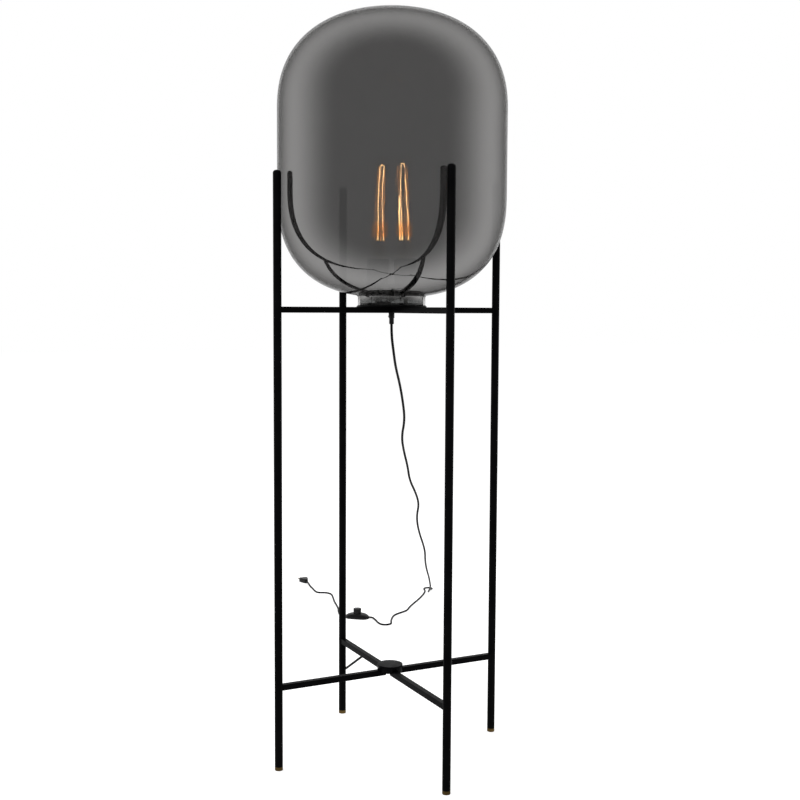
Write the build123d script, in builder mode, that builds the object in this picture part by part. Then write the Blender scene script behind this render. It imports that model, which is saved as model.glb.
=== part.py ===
from build123d import *
from math import acos, cos, radians, sin, tan
import os

# Globe floor lamp. Millimetres, +Z up, origin on the floor under the middle of the frame.
# The front leg stands at -Y, the back leg at +Y, the left leg at -X and the right leg at +X.

# ---- frame ----
leg_ring_radius = 228.4  # from the lamp's axis to each leg's axis
leg_radius = 7.5
leg_wall = 1.5
leg_top = 1099.0
leg_dome_radius = 5.5
foot_height = 7.0
foot_edge = 0.8
foot_spigot_length = 14.0
bar_size = 11.0
bar_edge = 0.6
upper_bar_bottom = 845.5
lower_bar_bottom = 150.5
hub_radius = 24.5
hub_height = 13.0
hub_edge = 0.8
hub_slot_depth = 4.0  # how far the lower arms are let into the hub
lower_arm_start = 11.0  # from the lamp's axis to the inner end of a lower arm
brace_radius = 2.4
brace_reach = 126.5  # from the lamp's axis to where the brace leaves the arm
brace_drop = 60.5  # from the arm's underside down to where the brace meets the leg
plate_radius = 66.0
plate_thickness = 2.0

# ---- globe ----
gasket_thickness = 1.5
gasket_lip_height = 4.0
gasket_lip_wall = 1.2
gasket_rim = 0.8  # how far the gasket stands out past the neck
neck_radius = 63.5
neck_length = 14.0
globe_leg_gap = 6.9  # between the globe and each leg
glass_wall = 3.5
lower_dome_height = 194.4
lower_dome_power = 2.55
barrel_height = 148.6
upper_dome_height = 183.0
upper_dome_power = 2.35
dome_steps = 6
neck_fillet = 4.0

# ---- lamp cluster ----
cluster_turn = -45.0  # direction of the pair of bulbs, between the arms
nipple_radius = 4.0
nipple_bore_radius = 2.7
nut_flats = 12.0
nut_height = 3.0
nut_margin = 0.6  # thread left standing past a nut
bridge_half_width = 29.0
bridge_height = 15.5
bridge_depth = 20.0
bridge_thickness = 1.8
bridge_bend_radius = 2.6
bridge_foot_length = 10.5
bracket_screw_radius = 2.0
bracket_screw_head_radius = 3.6
bracket_screw_head_height = 2.2
spacer_radius = 5.0
spacer_length = 20.0
strip_depth = 20.0
strip_thickness = 2.0
strip_flat = 14.0
strip_half_width = 47.0
holder_lean = 2.0  # degrees towards the lamp's axis
holder_offset = 28.0  # from the lamp's axis to the middle of a holder's seat
block_length = 24.0
block_depth = 12.0
block_height = 9.0
block_along = -9.5  # along the pair of bulbs
block_across = -16.0  # square to the pair of bulbs
block_screw_radius = 1.7
block_screw_depth = 3.0
lead_radius = 1.2
core_wire_radius = 0.9
core_wire_spread = 2.4
wire_rise = 2.5  # how far the core wires rise out of the nipple before they turn

# ---- lampholder, measured up from its seat ----
holder_radius = 21.0
holder_height = 49.5
holder_wall = 2.4
holder_floor = 3.0
holder_rim = 1.0
core_height = 8.0
core_collar_height = 27.0
core_collar_wall = 2.4
holder_nipple_radius = 5.0
holder_nipple_bore = 3.4
holder_nipple_reach = 4.0  # into the insulating core
holder_nut_flats = 14.0
holder_nut_height = 3.0
socket_radius = 13.6
socket_wall = 0.6
socket_height = 24.0
contact_thickness = 0.6
contact_width = 5.0
contact_rise = 1.6
contact_length = 13.0
socket_floor_hole = 8.0

# ---- bulb, measured up from its end contact ----
bulb_radius = 15.0
bulb_length = 225.0
bulb_wall = 0.9
bulb_waist_radius = 11.9
bulb_shoulder_level = 36.0  # where the glass reaches its full width
cap_radius = 13.1  # over the thread
cap_thread_height = 0.5
cap_thread_pitch = 3.63
cap_thread_turns = 5
cap_wall = 0.5
cap_bottom = 5.0
cap_height = 22.0
insulator_radius = 10.6
insulator_lip = 1.0
insulator_tip_radius = 5.2
end_contact_radius = 4.6
end_contact_height = 1.6
mount_rod_radius = 1.6
mount_press_level = 52.0
mount_flare_level = 30.0
mount_neck_radius = 3.2
glass_in_cap = 13.0  # length of glass inside the cap
cage_bottom = 72.0
cage_top = 211.0
cage_bottom_radius = 9.4
cage_top_radius = 3.6
cage_strands = 8
filament_radius = 0.45
support_radius = 0.35
support_gap = 0.3
bulb_joint_gap = 0.2

# ---- cord and what is on it ----
cord_radius = 2.0
grip_collar_radius = 5.5
grip_collar_length = 9.5
grip_thread_length = 5.0
grip_radius = 4.5
grip_length = 11.5
grip_edge = 1.0
grip_spigot_length = 2.0
grip_spigot_radius = 3.6
grip_screw_radius = 1.2
grip_screw_proud = 1.2
switch_x = 339.0
switch_y = 899.0
switch_turn = -40.0
switch_length = 67.0
switch_width = 36.0
switch_height = 18.0
switch_base_height = 9.0
switch_crown = 8.0
switch_wall = 2.0
switch_floor = 1.5
switch_lip_height = 1.5
switch_bush_radius = 2.8
switch_bush_length = 7.0
switch_bush_proud = 0.7
cord_entry_level = 4.5
button_radius = 10.8
button_top = 27.0
button_edge = 2.0
button_wall = 2.0
button_flange_radius = 12.4
button_flange_height = 2.0
button_travel = 3.0
module_length = 22.0
module_width = 14.0
module_height = 8.5
stem_radius = 1.9
stem_grip = 3.0  # length of the button's stem inside the module with the button up
switch_post_radius = 3.2
switch_post_along = 20.0
switch_post_across = 8.5
switch_screw_radius = 1.4
switch_screw_head_radius = 2.6
switch_screw_head_height = 1.7
switch_screw_length = 9.0
switch_boss_height = 2.0
plug_width = 26.0
plug_end_width = 10.0
plug_length = 34.0
plug_height = 13.0
plug_edge = 2.0
plug_corner = 4.0
plug_turn = 88.0
pin_radius = 2.0
pin_length = 19.0
pin_root = 6.0
pin_spacing = 18.6

# ---- clearances ----
seat_clearance = 0.1  # between fixed pieces, one in the other
thread_clearance = 0.05
glass_clearance = 0.3  # round the neck's centring lip
running_clearance = 0.4  # round the button

# ---- points that the cord's middle passes, from the grip to the foot switch ----
hang_route = [
    (12, 18, 773), (37, 57, 740), (64, 94, 704), (88, 127, 664),
    (109, 161, 625), (123, 198, 586), (145, 233, 549), (171, 267, 512), (196, 301, 476), (225, 334, 440),
    (251, 369, 405), (269, 409, 371), (292, 448, 339), (318, 485, 307), (345, 523, 276), (371, 563, 246),
    (394, 604, 217), (419, 646, 190), (445, 687, 164), (471, 730, 139), (496, 773, 116), (522, 818, 94),
    (547, 863, 74), (572, 909, 56), (598, 956, 40), (625, 1003, 26), (650, 1049, 14), (668, 1084, 6),
    (681, 1106, 2.6), (671, 1123, 2), (652, 1120, 2), (642, 1090, 2), (615, 1050, 2), (589, 1010, 2),
    (557, 974, 2), (521, 941, 2), (494, 905, 2), (468, 890, 2), (444, 872, 2), (426, 846, 2),
    (407, 820, 2), (394, 797, 2), (380, 794, 2), (370, 804, 2), (370, 826, 2), (374, 850, 2.5),
    (376.5, 862.5, 3.6),
]
hang_first_run = 20.5  # straight below the grip
hang_last_run = 9.2  # straight into the switch
# ---- and from the foot switch to the plug ----
tail_route = [
    (301, 943, 2.5), (306, 966, 2), (321, 992, 2), (341, 1040, 2),
    (350, 1084, 2), (362, 1126, 2), (371, 1160, 2), (362, 1184, 2), (348, 1203, 2), (348, 1232, 2),
    (358, 1275, 2), (361, 1303, 3.2),
]
tail_first_run = 10.4
tail_last_run = 11.4
plug_x = 362.4
plug_y = 1332.4

# ---- levels and places that follow ----
foot_spigot_radius = leg_radius - leg_wall - seat_clearance
globe_radius = leg_ring_radius - leg_radius - globe_leg_gap
upper_bar_top = upper_bar_bottom + bar_size
lower_bar_top = lower_bar_bottom + bar_size
plate_top = upper_bar_top + plate_thickness
glass_bottom = plate_top + gasket_thickness
dome_pole = glass_bottom + neck_length
barrel_bottom = dome_pole + lower_dome_height
barrel_top = barrel_bottom + barrel_height
neck_bore = neck_radius - glass_wall
bridge_top = plate_top + bridge_height
strip_bottom = bridge_top + spacer_length
strip_top = strip_bottom + strip_thickness
holder_core_top = holder_floor + core_height
contact_level = holder_core_top + contact_thickness + contact_rise + bulb_joint_gap
cap_top = cap_bottom + cap_height
button_seat = switch_height - switch_wall - seat_clearance - button_flange_height
module_top = switch_floor + module_height

# ---- directions ----
sides = {"front": -90, "right": 0, "back": 90, "left": 180}


def direction(angle):
    return Vector(cos(radians(angle)), sin(radians(angle)), 0)


def flat_plane(angle, level):
    """Level plane with its X along a direction round the lamp's axis."""
    return Plane(origin=(0, 0, level), x_dir=direction(angle), z_dir=(0, 0, 1))


def upright_plane(angle, distance=0.0):
    """Vertical plane through the lamp's axis: its X points outwards and its Y is height."""
    outward = direction(angle)
    return Plane(origin=outward * distance, x_dir=outward, z_dir=outward.cross(Vector(0, 0, 1)))


def write(part, label):
    part.label = label
    export_step(part, f"parts/{label}.step")


def hexagon(flats):
    """Hexagon given by the distance across its flats, one of which faces along X."""
    return RegularPolygon(radius=flats / 2, side_count=6, major_radius=False, rotation=30)


os.makedirs("parts", exist_ok=True)

# ================= frame =================


def make_leg(side, angle):
    """Round tube with a closed, domed top, open below for its foot."""
    seat = direction(angle) * leg_ring_radius + Vector(0, 0, foot_height)
    with BuildPart() as leg:
        with BuildSketch(Plane(origin=seat, z_dir=(0, 0, 1))):
            Circle(leg_radius)
        extrude(amount=leg_top - foot_height)
        fillet(leg.edges().group_by(Axis.Z)[-1], leg_dome_radius)
        offset(amount=-leg_wall, openings=leg.faces().sort_by(Axis.Z)[0])
    write(leg.part, f"leg_{side}")


def make_feet():
    """Four press-in glides: each is a disc as wide as the leg and a spigot up its bore."""
    with BuildPart() as feet:
        for angle in sides.values():
            with BuildSketch(flat_plane(angle, 0)):
                with Locations((leg_ring_radius, 0)):
                    Circle(leg_radius)
            extrude(amount=foot_height)
            with BuildSketch(flat_plane(angle, foot_height)):
                with Locations((leg_ring_radius, 0)):
                    Circle(foot_spigot_radius)
            extrude(amount=foot_spigot_length)
        fillet(feet.edges().group_by(Axis.Z)[0], foot_edge)
        chamfer(feet.edges().group_by(Axis.Z)[-1], foot_edge)
    write(feet.part, "feet")


def cut_for_leg(angle, bottom):
    """Saddle cut in the end of an arm, round its leg."""
    with BuildSketch(flat_plane(angle, bottom)) as saddle:
        with Locations((leg_ring_radius, 0)):
            Circle(leg_radius)
    extrude(saddle.sketch, amount=bar_size, mode=Mode.SUBTRACT)


def make_upper_arm(side, angle):
    """Square bar from the lamp's axis to its leg, mitred where the four meet round the nipple."""
    half = bar_size / 2
    with BuildPart() as arm:
        with BuildSketch(flat_plane(angle, upper_bar_bottom)):
            Polygon((0, 0), (half, -half), (leg_ring_radius, -half), (leg_ring_radius, half), (half, half),
                    align=None)
        extrude(amount=bar_size)
        long_edges = arm.edges().filter_by(Axis((0, 0, 0), direction(angle)))
        chamfer(long_edges, bar_edge)
        cut_for_leg(angle, upper_bar_bottom)
        with BuildSketch(flat_plane(angle, upper_bar_bottom)):
            Circle(nipple_radius + thread_clearance)
        extrude(amount=bar_size, mode=Mode.SUBTRACT)
    write(arm.part, f"upper_arm_{side}")


def make_lower_arm(side, angle):
    """Square bar from inside the hub to its leg."""
    middle = (lower_arm_start + leg_ring_radius) / 2
    with BuildPart() as arm:
        with BuildSketch(flat_plane(angle, lower_bar_bottom)):
            with Locations((middle, 0)):
                Rectangle(leg_ring_radius - lower_arm_start, bar_size)
        extrude(amount=bar_size)
        chamfer(arm.edges().filter_by(Axis((0, 0, 0), direction(angle))), bar_edge)
        cut_for_leg(angle, lower_bar_bottom)
    write(arm.part, f"lower_arm_{side}")


for side, angle in sides.items():
    make_leg(side, angle)
    make_upper_arm(side, angle)
    make_lower_arm(side, angle)
make_feet()

# The hub's underside has a slot over each lower arm, and a post of full height between their ends.
hub_bottom = lower_bar_top - hub_slot_depth
with BuildPart() as hub:
    with BuildSketch(Plane.XY.offset(hub_bottom)):
        Circle(hub_radius)
    extrude(amount=hub_height)
    fillet(hub.edges().group_by(Axis.Z)[-1], hub_edge)
    for angle in sides.values():
        with BuildSketch(flat_plane(angle, hub_bottom)):
            with Locations(((lower_arm_start + hub_radius) / 2, 0)):
                Rectangle(hub_radius - lower_arm_start, bar_size + 2 * seat_clearance)
            with Locations((hub_radius, 0)):
                Rectangle(hub_radius - lower_arm_start, bar_size + 2 * seat_clearance)
        extrude(amount=hub_slot_depth, mode=Mode.SUBTRACT)
write(hub.part, "lower_hub")

# Brace: a rod in the plane of the back arm, cut square to the arm's underside and round to the leg.
brace_start = Vector(0, brace_reach, lower_bar_bottom)
brace_end = Vector(0, leg_ring_radius, lower_bar_bottom - brace_drop)
brace_run = (brace_end - brace_start).normalized()
with BuildPart() as brace:
    with BuildSketch(Plane(origin=brace_start - brace_run * bar_size, z_dir=brace_run)):
        Circle(brace_radius)
    extrude(amount=(brace_end - brace_start).length + bar_size)
    split(bisect_by=Plane.XY.offset(lower_bar_bottom), keep=Keep.BOTTOM)
    with BuildSketch(flat_plane(sides["back"], 0)):
        with Locations((leg_ring_radius, 0)):
            Circle(leg_radius)
        with Locations((leg_ring_radius + leg_radius, 0)):
            Rectangle(2 * leg_radius, 2 * leg_radius)
    extrude(amount=lower_bar_bottom, mode=Mode.SUBTRACT)
write(brace.part, "back_brace")

# Top plate: welded on the cross, with a hole for the nipple and two tapped holes for the bridge's screws.
foot_screw_distance = bridge_half_width + bridge_bend_radius + bracket_screw_head_radius + seat_clearance
with BuildPart() as top_plate:
    with BuildSketch(flat_plane(cluster_turn, upper_bar_top)):
        Circle(plate_radius)
        Circle(nipple_radius + thread_clearance, mode=Mode.SUBTRACT)
        with Locations((foot_screw_distance, 0), (-foot_screw_distance, 0)):
            Circle(bracket_screw_radius + thread_clearance, mode=Mode.SUBTRACT)
    extrude(amount=plate_thickness)
    fillet(top_plate.edges().group_by(Axis.Z)[-1].sort_by(SortBy.RADIUS)[-1], plate_thickness / 4)
write(top_plate.part, "top_plate")

# ================= globe =================


def dome_points(radius, height, power, level, end_radius=0.0):
    """Points of a superellipse from its widest level towards its pole; a negative height goes down."""
    last_turn = acos((end_radius / radius) ** (power / 2))
    turns = [last_turn * step / dome_steps for step in range(dome_steps + 1)]
    return [(radius * cos(t) ** (2 / power), level + height * sin(t) ** (2 / power)) for t in turns]


def globe_profile(inset):
    """Half outline of the globe's outer face, or of its inner face one wall inside it."""
    radius = globe_radius - inset
    neck = neck_radius - inset
    lower = dome_points(radius, inset - lower_dome_height, lower_dome_power, barrel_bottom, neck)
    upper = dome_points(radius, upper_dome_height - inset, upper_dome_power, barrel_top)
    Line((0, glass_bottom), (neck, glass_bottom))
    Line((neck, glass_bottom), lower[-1])
    Spline(lower[::-1], tangents=[(1, 0.12), (0, 1)])
    Line(lower[0], upper[0])
    Spline(upper, tangents=[(0, 1), (-1, 0)])
    Line(upper[-1], (0, glass_bottom))


def on_neck(edge):
    return abs(edge.radius - neck_radius) < glass_wall + 1 and edge.center().Z > glass_bottom + 1


# Blown shell: a short straight neck, a rounded lower half, a straight belt and a rounder upper half.
with BuildPart() as globe:
    with BuildSketch(upright_plane(sides["right"])):
        with BuildLine():
            globe_profile(0.0)
        make_face()
    revolve(axis=Axis.Z)
    fillet(globe.edges().filter_by(GeomType.CIRCLE).filter_by(on_neck), neck_fillet)
with BuildPart() as globe_inside:
    with BuildSketch(upright_plane(sides["right"])):
        with BuildLine():
            globe_profile(glass_wall)
        make_face()
    revolve(axis=Axis.Z)
    fillet(globe_inside.edges().filter_by(GeomType.CIRCLE).filter_by(on_neck), neck_fillet + glass_wall)
with BuildPart() as globe_glass:
    add(globe.part)
    add(globe_inside.part, mode=Mode.SUBTRACT)
    rim = globe_glass.edges().filter_by(GeomType.CIRCLE).group_by(Axis.Z)[0]
    fillet(rim, glass_wall / 4)
write(globe_glass.part, "globe_glass")

# Gasket: a ring under the neck, with a lip that centres the neck.
lip_outer = neck_bore - glass_clearance
with BuildPart() as gasket:
    with BuildSketch(upright_plane(sides["right"])):
        with BuildLine():
            Polyline((lip_outer - gasket_lip_wall, plate_top), (neck_radius + gasket_rim, plate_top),
                     (neck_radius + gasket_rim, glass_bottom), (lip_outer, glass_bottom),
                     (lip_outer, glass_bottom + gasket_lip_height),
                     (lip_outer - gasket_lip_wall, glass_bottom + gasket_lip_height), close=True)
        make_face()
    revolve(axis=Axis.Z)
    fillet(gasket.edges().group_by(Axis.Z)[-1], gasket_lip_wall / 3)
write(gasket.part, "neck_gasket")

# ================= lamp cluster =================
across = cluster_turn + 90
along_direction = direction(cluster_turn)
across_direction = direction(across)


def cluster_point(along, sideways, level):
    return along_direction * along + across_direction * sideways + Vector(0, 0, level)


def lamp_seat(end, level=0.0):
    """Frame of one holder on its bent-up wing of the strip: X outwards along the wing, Y up the holder."""
    lean = radians(holder_lean)
    outward = along_direction * end
    run = outward * cos(lean) + Vector(0, 0, sin(lean))
    rise = Vector(0, 0, cos(lean)) - outward * sin(lean)
    bend = outward * (strip_flat / 2) + Vector(0, 0, strip_bottom)
    seat = bend + run * (holder_offset - strip_flat / 2) + rise * strip_thickness
    return Plane(origin=seat + rise * level, x_dir=run, z_dir=run.cross(rise))


def seat_axis(seat):
    return Axis(seat.origin, seat.y_dir)


def level_on(seat, level):
    """Plane square to a seat's axis at a level above it."""
    return Plane(origin=seat.origin + seat.y_dir * level, x_dir=seat.x_dir, z_dir=seat.y_dir)


bridge_underside = bridge_top - bridge_thickness
lower_nipple_bottom = upper_bar_bottom - grip_thread_length
lower_nipple_top = plate_top + nut_height + nut_margin
upper_nipple_bottom = bridge_underside - nut_height - nut_margin
upper_nipple_top = strip_top + nut_height + nut_margin
holder_nipple_bottom = -strip_thickness - holder_nut_height - nut_margin
holder_nipple_top = holder_floor + holder_nipple_reach
holder_seats = [lamp_seat(end) for end in (-1, 1)]
bulb_seats = [lamp_seat(end, contact_level) for end in (-1, 1)]

# Hollow threaded rods: through the cross, through the bridge, and one under each holder.
with BuildPart() as nipples:
    for bottom, top in ((lower_nipple_bottom, lower_nipple_top), (upper_nipple_bottom, upper_nipple_top)):
        with BuildSketch(Plane.XY.offset(bottom)):
            Circle(nipple_radius)
            Circle(nipple_bore_radius, mode=Mode.SUBTRACT)
        extrude(amount=top - bottom)
    for seat in holder_seats:
        with BuildSketch(level_on(seat, holder_nipple_bottom)):
            Circle(holder_nipple_radius)
            Circle(holder_nipple_bore, mode=Mode.SUBTRACT)
        extrude(amount=holder_nipple_top - holder_nipple_bottom)
write(nipples.part, "nipples")

with BuildPart() as spacer:
    with BuildSketch(Plane.XY.offset(bridge_top)):
        Circle(spacer_radius)
        Circle(nipple_radius + seat_clearance, mode=Mode.SUBTRACT)
    extrude(amount=spacer_length)
write(spacer.part, "cluster_spacer")

# Hexagon nuts: on the plate, under the bridge and on the strip, and one under each wing of the strip.
with BuildPart() as nuts:
    for level in (plate_top, bridge_underside - nut_height, strip_top):
        with BuildSketch(flat_plane(cluster_turn, level)):
            hexagon(nut_flats)
            Circle(nipple_radius + thread_clearance, mode=Mode.SUBTRACT)
        extrude(amount=nut_height)
    for seat in holder_seats:
        with BuildSketch(level_on(seat, -strip_thickness - holder_nut_height)):
            hexagon(holder_nut_flats)
            Circle(holder_nipple_radius + thread_clearance, mode=Mode.SUBTRACT)
        extrude(amount=holder_nut_height)
write(nuts.part, "nipple_nuts")

# Bridge: strip bent up, over and down again, with a foot screwed to the plate at each end.
foot_end = bridge_half_width + bridge_foot_length
foot_top = plate_top + bridge_thickness
with BuildPart() as bridge:
    with BuildSketch(upright_plane(cluster_turn)):
        with BuildLine():
            FilletPolyline((-foot_end, foot_top), (-bridge_half_width, foot_top), (-bridge_half_width, bridge_top),
                           (bridge_half_width, bridge_top), (bridge_half_width, foot_top), (foot_end, foot_top),
                           radius=bridge_bend_radius)
            offset(amount=bridge_thickness, side=Side.RIGHT)
        make_face()
    extrude(amount=bridge_depth / 2, both=True)
    with BuildSketch(flat_plane(cluster_turn, plate_top)):
        Circle(nipple_radius + thread_clearance)
        with Locations((foot_screw_distance, 0), (-foot_screw_distance, 0)):
            Circle(bracket_screw_radius + thread_clearance)
    extrude(amount=bridge_height, mode=Mode.SUBTRACT)
write(bridge.part, "cluster_bridge")

with BuildPart() as bridge_screws:
    with BuildSketch(flat_plane(cluster_turn, upper_bar_top - bracket_screw_radius / 2)):
        with Locations((foot_screw_distance, 0), (-foot_screw_distance, 0)):
            Circle(bracket_screw_radius)
    extrude(amount=foot_top - upper_bar_top + bracket_screw_radius / 2)
    with BuildSketch(flat_plane(cluster_turn, foot_top)):
        with Locations((foot_screw_distance, 0), (-foot_screw_distance, 0)):
            Circle(bracket_screw_head_radius)
    extrude(amount=bracket_screw_head_height)
    fillet(bridge_screws.edges().group_by(Axis.Z)[-1], bracket_screw_head_height / 2)
write(bridge_screws.part, "bridge_screws")

# Holder strip: flat in the middle, its wings bent up so that the holders lean towards each other.
wing = strip_half_width - strip_flat / 2
wing_run = strip_flat / 2 + wing * cos(radians(holder_lean))
wing_rise = wing * sin(radians(holder_lean))
with BuildPart() as strip:
    with BuildSketch(upright_plane(cluster_turn)):
        with BuildLine():
            Polyline((-wing_run, strip_bottom + wing_rise), (-strip_flat / 2, strip_bottom),
                     (strip_flat / 2, strip_bottom), (wing_run, strip_bottom + wing_rise))
            offset(amount=strip_thickness, side=Side.LEFT)
        make_face()
    extrude(amount=strip_depth / 2, both=True)
    with BuildSketch(Plane.XY.offset(strip_bottom)):
        Circle(nipple_radius + thread_clearance)
    extrude(amount=strip_thickness, mode=Mode.SUBTRACT)
    for seat in holder_seats:
        with BuildSketch(level_on(seat, -2 * strip_thickness)):
            Circle(holder_nipple_radius + thread_clearance)
        extrude(amount=3 * strip_thickness, mode=Mode.SUBTRACT)
write(strip.part, "holder_strip")

# Terminal block on the plate in front of the bridge, with a screw recess over each of its four wires.
block_bottom_plane = Plane(origin=cluster_point(block_along, block_across, plate_top), x_dir=along_direction,
                           z_dir=(0, 0, 1))
with BuildPart() as block:
    with BuildSketch(block_bottom_plane):
        Rectangle(block_length, block_depth)
    extrude(amount=block_height)
    chamfer(block.edges().group_by(Axis.Z)[-1], block_screw_radius / 3)
    with BuildSketch(block_bottom_plane.offset(block_height - block_screw_depth)):
        with GridLocations(block_length / 2, block_depth * 0.6, 2, 2):
            Circle(block_screw_radius)
    extrude(amount=block_screw_depth, mode=Mode.SUBTRACT)
write(block.part, "terminal_block")

# Wires: the supply cord's two cores to the side of the block, and a lead from each holder to its top.
block_top = plate_top + block_height
block_side = block_across + block_depth / 2
core_start = lower_nipple_top - nut_margin
with BuildPart() as wires:
    for side_step in (-core_wire_spread / 2, core_wire_spread / 2):
        with BuildLine() as core_path:
            FilletPolyline(cluster_point(side_step, 0, core_start),
                           cluster_point(side_step, 0, core_start + wire_rise),
                           cluster_point(side_step, block_side, core_start + wire_rise),
                           radius=2 * core_wire_radius)
        with BuildSketch(Plane(origin=core_path.line @ 0, z_dir=core_path.line % 0)):
            Circle(core_wire_radius)
        sweep(path=core_path.line)
    for end, seat in zip((-1, 1), holder_seats):
        drop = seat.origin - seat.y_dir * (strip_thickness + holder_nut_height + 4 * lead_radius)
        over_block = block_along + end * block_length / 4
        with BuildLine() as lead_path:
            FilletPolyline(seat.origin - seat.y_dir, drop,
                           cluster_point(end * holder_offset * 0.7, block_across / 2, bridge_top + 6 * lead_radius),
                           cluster_point(over_block, block_across, bridge_top + 3 * lead_radius),
                           cluster_point(over_block, block_across, block_top), radius=3 * lead_radius)
        with BuildSketch(Plane(origin=lead_path.line @ 0, z_dir=lead_path.line % 0)):
            Circle(lead_radius)
        sweep(path=lead_path.line)
write(wires.part, "inner_wires")

# ================= lampholders =================
core_radius = holder_radius - holder_wall - seat_clearance
collar_bore = socket_radius + socket_wall + seat_clearance
collar_radius = collar_bore + core_collar_wall
collar_top = holder_core_top + core_collar_height
recess_radius = holder_nipple_radius + thread_clearance
recess_top = holder_nipple_top + seat_clearance


def turn(seat, outline):
    """Turns a half outline, given as radius and height, round a seat's axis."""
    with BuildSketch(seat) as section:
        Polygon(*outline, align=None)
    revolve(section.sketch, axis=seat_axis(seat))


# Housings: plain cups with a hole in the floor for the nipple.
for number, seat in enumerate(holder_seats, start=1):
    with BuildPart() as housing:
        turn(seat, [(recess_radius, 0), (holder_radius, 0), (holder_radius, holder_height),
                    (holder_radius - holder_wall, holder_height), (holder_radius - holder_wall, holder_floor),
                    (recess_radius, holder_floor)])
        outer_rims = housing.edges().filter_by(GeomType.CIRCLE).sort_by(SortBy.RADIUS)[-2:]
        fillet(outer_rims, holder_rim)
    write(housing.part, f"holder_{number}_housing")

# Insulating cores: a disc on each housing's floor and a collar round the threaded shell.
with BuildPart() as cores:
    for seat in holder_seats:
        turn(seat, [(0, recess_top), (recess_radius, recess_top), (recess_radius, holder_floor),
                    (core_radius, holder_floor), (core_radius, holder_core_top), (collar_radius, holder_core_top),
                    (collar_radius, collar_top), (collar_bore, collar_top), (collar_bore, holder_core_top),
                    (0, holder_core_top)])
write(cores.part, "holder_cores")

# Threaded shells: a wall and a floor with a wide hole for the centre contact.
with BuildPart() as sockets:
    for seat in holder_seats:
        turn(seat, [(socket_floor_hole, holder_core_top), (socket_radius + socket_wall, holder_core_top),
                    (socket_radius + socket_wall, holder_core_top + socket_height),
                    (socket_radius, holder_core_top + socket_height), (socket_radius, holder_core_top + socket_wall),
                    (socket_floor_hole, holder_core_top + socket_wall)])
write(sockets.part, "holder_sockets")

# Centre contacts: bent leaves on the cores.
with BuildPart() as leaves:
    for seat in holder_seats:
        with BuildSketch(seat):
            with BuildLine():
                Polyline((-contact_length / 2, holder_core_top), (-contact_length / 3, holder_core_top),
                         (-contact_length / 5, holder_core_top + contact_rise),
                         (contact_length / 5, holder_core_top + contact_rise),
                         (contact_length / 3, holder_core_top), (contact_length / 2, holder_core_top))
                offset(amount=contact_thickness, side=Side.LEFT)
            make_face()
        extrude(amount=contact_width / 2, both=True)
write(leaves.part, "holder_contacts")

# ================= bulbs =================
cap_core_radius = cap_radius - cap_thread_height
cap_bore = cap_core_radius - cap_wall
cap_hole = insulator_radius + seat_clearance
insulator_top = cap_bottom + cap_wall + insulator_lip
thread_start = cap_bottom + (cap_height - cap_thread_turns * cap_thread_pitch) / 2
dome_level = bulb_length - bulb_radius
glass_foot = cap_top - glass_in_cap
waist_top = cap_top + 1
rod_top = cage_top + 2 * filament_radius
cage_angles = [360 * strand / cage_strands for strand in range(cage_strands)]
half_step = radians(180 / cage_strands)


def bulb_wall_line(inset):
    """Outline of the glass from its foot to the top of its dome, outside or one wall inside."""
    waist = bulb_waist_radius - inset
    body = bulb_radius - inset
    Line((waist, glass_foot), (waist, waist_top))
    Spline((waist, waist_top), (body, bulb_shoulder_level), tangents=[(0, 1), (0, 1)])
    Line((body, bulb_shoulder_level), (body, dome_level))
    CenterArc((0, dome_level), body, 0, 90)


def on_bulb(seat, radius, angle, height):
    """Point given by its radius, its angle round a bulb's axis and its height."""
    sideways = seat.x_dir * cos(radians(angle)) + seat.z_dir * sin(radians(angle))
    return seat.origin + sideways * radius + seat.y_dir * height


def wire(radius, points, bend=None):
    """Round wire along points, with its corners rounded where a bend radius is given."""
    with BuildLine() as path:
        if bend:
            FilletPolyline(*points, radius=bend)
        else:
            Polyline(*points)
    with BuildSketch(Plane(origin=path.line @ 0, z_dir=path.line % 0)) as section:
        Circle(radius)
    sweep(section.sketch, path=path.line)


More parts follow.
